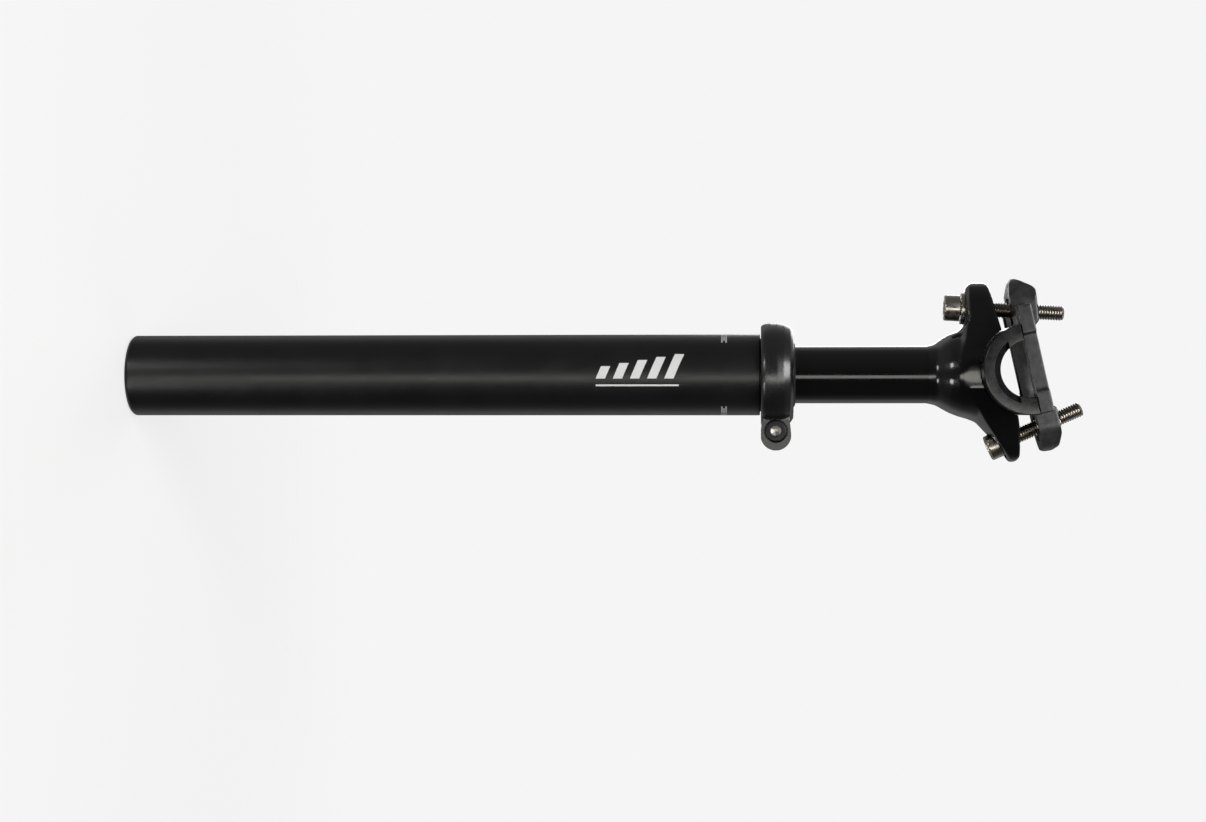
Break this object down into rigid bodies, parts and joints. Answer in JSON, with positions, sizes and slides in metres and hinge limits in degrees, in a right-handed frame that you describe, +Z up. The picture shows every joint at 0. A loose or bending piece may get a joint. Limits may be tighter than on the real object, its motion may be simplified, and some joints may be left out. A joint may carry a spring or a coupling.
{
  "type": "suspension seatpost",
  "caption": "Telescopic suspension seatpost: a sprung inner tube slides in a plain outer tube and carries a tilting two-bolt clamp for saddle rails.",
  "frame": {"origin": "centre of the outer tube's bottom end, on the post's axis", "axes": "+Z up along the post, +X to the front of the bicycle, +Y to its left"},
  "size_m": [0.0708, 0.056, 0.3729],
  "materials": {
    "outer_tube": "satin black anodised aluminium",
    "collar": "semi-gloss black anodised aluminium",
    "inner_tube": "gloss black hard coat",
    "head": "gloss black on forged aluminium",
    "clamp_grey": "satin dark grey, blasted and anodised",
    "stainless": "bright nickel-plated steel",
    "black_steel": "black oxide steel",
    "spring_steel": "oiled spring steel",
    "brass": "machined brass",
    "rubber": "matt black rubber",
    "elastomer": "amber polyurethane foam",
    "bushing": "black acetal"
  },
  "bodies": {
    "outer": {"outer_tube": "outer_tube", "upper_bushing": "bushing", "wiper_seal": "rubber", "collar": "collar", "collar_bolt": "black_steel", "main_spring": "spring_steel"},
    "spring_seat": {"preload_seat": "black_steel", "elastomer_bumper": "elastomer"},
    "preload_adjuster": {"preload_plug": "bushing", "plug_o_ring": "rubber"},
    "slider": {"inner_tube": "inner_tube", "slide_bush": "bushing", "left_key": "brass", "right_key": "brass", "tube_insert": "stainless", "piston_bolt": "black_steel", "top_out_bumper": "rubber", "head_forging": "head", "front_washer": "stainless", "rear_washer": "stainless"},
    "front_clamp_bolt": {"front_bolt": "stainless"},
    "rear_clamp_bolt": {"rear_bolt": "stainless"},
    "rail_clamp": {"lower_cradle": "clamp_grey", "upper_clamp": "clamp_grey"},
    "front_barrel_nut": {"front_nut": "stainless"},
    "rear_barrel_nut": {"rear_nut": "stainless"}
  },
  "joints": [
    {"name": "suspension_travel", "type": "slide", "parent": "outer", "child": "slider", "axis": [0, 0, 1], "range_m": [-0.04, 0], "stiffness_N_per_m": 17500, "springref_m": 0.006, "deforming": ["main_spring"]},
    {"name": "preload_slide", "type": "slide", "parent": "outer", "child": "spring_seat", "axis": [0, 0, 1], "range_m": [0, 0.008]},
    {"name": "preload_turn", "type": "hinge", "parent": "spring_seat", "child": "preload_adjuster", "pos_m": [0, 0, 0.0055], "axis": [0, 0, 1], "range_deg": [0, 1921]},
    {"name": "clamp_tilt", "type": "hinge", "parent": "slider", "child": "rail_clamp", "pos_m": [0.0017, 0, 0.3495], "axis": [0, 1, 0], "range_deg": [-8.02, 8.02]},
    {"name": "front_bolt_turn", "type": "hinge", "parent": "slider", "child": "front_clamp_bolt", "pos_m": [0.026, 0, 0.3194], "axis": [-0.0506, 0, 0.9987], "range_deg": [-1140, 1140]},
    {"name": "rear_bolt_turn", "type": "hinge", "parent": "slider", "child": "rear_clamp_bolt", "pos_m": [-0.0287, 0, 0.3363], "axis": [0.3987, 0, 0.9171], "range_deg": [-1140, 1140]},
    {"name": "front_nut_pivot", "type": "hinge", "parent": "rail_clamp", "child": "front_barrel_nut", "pos_m": [0.02446, 0, 0.34976], "axis": [0, 1, 0], "range_deg": [-8.02, 8.02]},
    {"name": "rear_nut_pivot", "type": "hinge", "parent": "rail_clamp", "child": "rear_barrel_nut", "pos_m": [-0.01889, 0, 0.35886], "axis": [0, 1, 0], "range_deg": [-8.02, 8.02]}
  ],
  "couplings": [
    {"joint": "preload_turn", "follows": "preload_slide", "rad_per_m": 4188.8},
    {"joint": "clamp_tilt", "follows": "front_bolt_turn", "ratio": 0.0070175},
    {"joint": "rear_bolt_turn", "follows": "front_bolt_turn", "ratio": -0.99509},
    {"joint": "front_nut_pivot", "follows": "front_bolt_turn", "ratio": -0.0070175},
    {"joint": "rear_nut_pivot", "follows": "front_bolt_turn", "ratio": -0.0070175}
  ]
}
